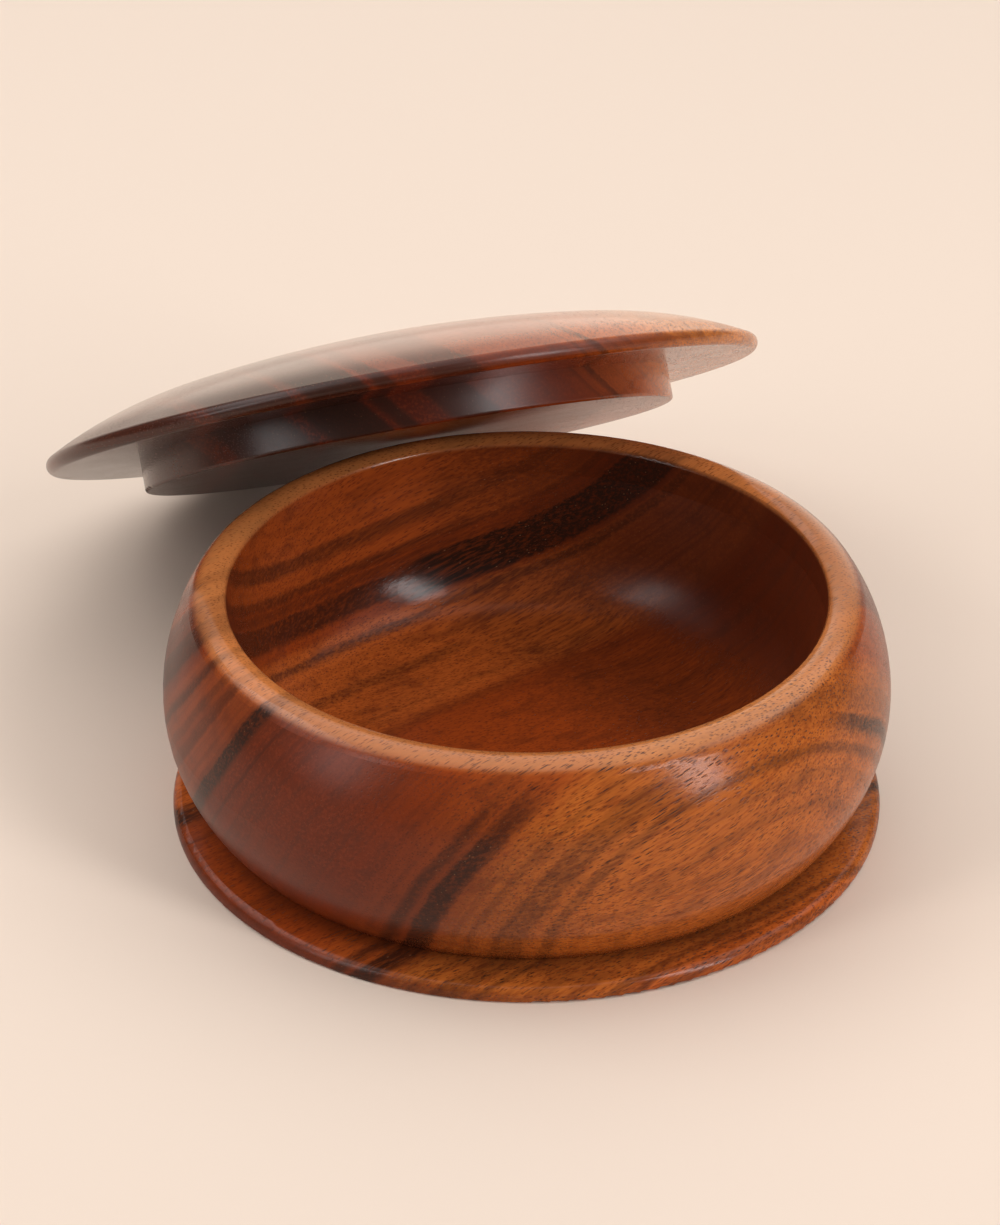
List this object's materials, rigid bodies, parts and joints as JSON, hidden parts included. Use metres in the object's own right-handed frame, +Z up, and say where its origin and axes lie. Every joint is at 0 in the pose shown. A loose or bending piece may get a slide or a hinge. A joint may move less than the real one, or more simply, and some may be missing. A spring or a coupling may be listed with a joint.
{
  "type": "lidded shaving bowl",
  "caption": "Squat turned wooden shaving bowl on a flared foot, with a loose domed lid leaning open against the back of its rim.",
  "frame": {"origin": "centre of the bowl's flat foot face, on the table", "axes": "+Z up along the bowl's own axis; +Y towards the back, where the lid leans (its direction is 109.1 degrees from +X); +X to the right"},
  "size_m": [0.146, 0.185, 0.0726],
  "materials": {
    "bowl_wood": "figured red-brown hardwood, side grain, satin oil and wax finish",
    "lid_wood": "darker streaked hardwood of the same kind, satin oil and wax finish"
  },
  "bodies": {
    "bowl": {"bowl": "bowl_wood"},
    "lid": {"lid": "lid_wood"}
  },
  "joints": [
    {"name": "lid_lift", "type": "slide", "parent": "bowl", "child": "lid", "axis": [0, 0, 1], "range_m": [0, 0.06]}
  ]
}
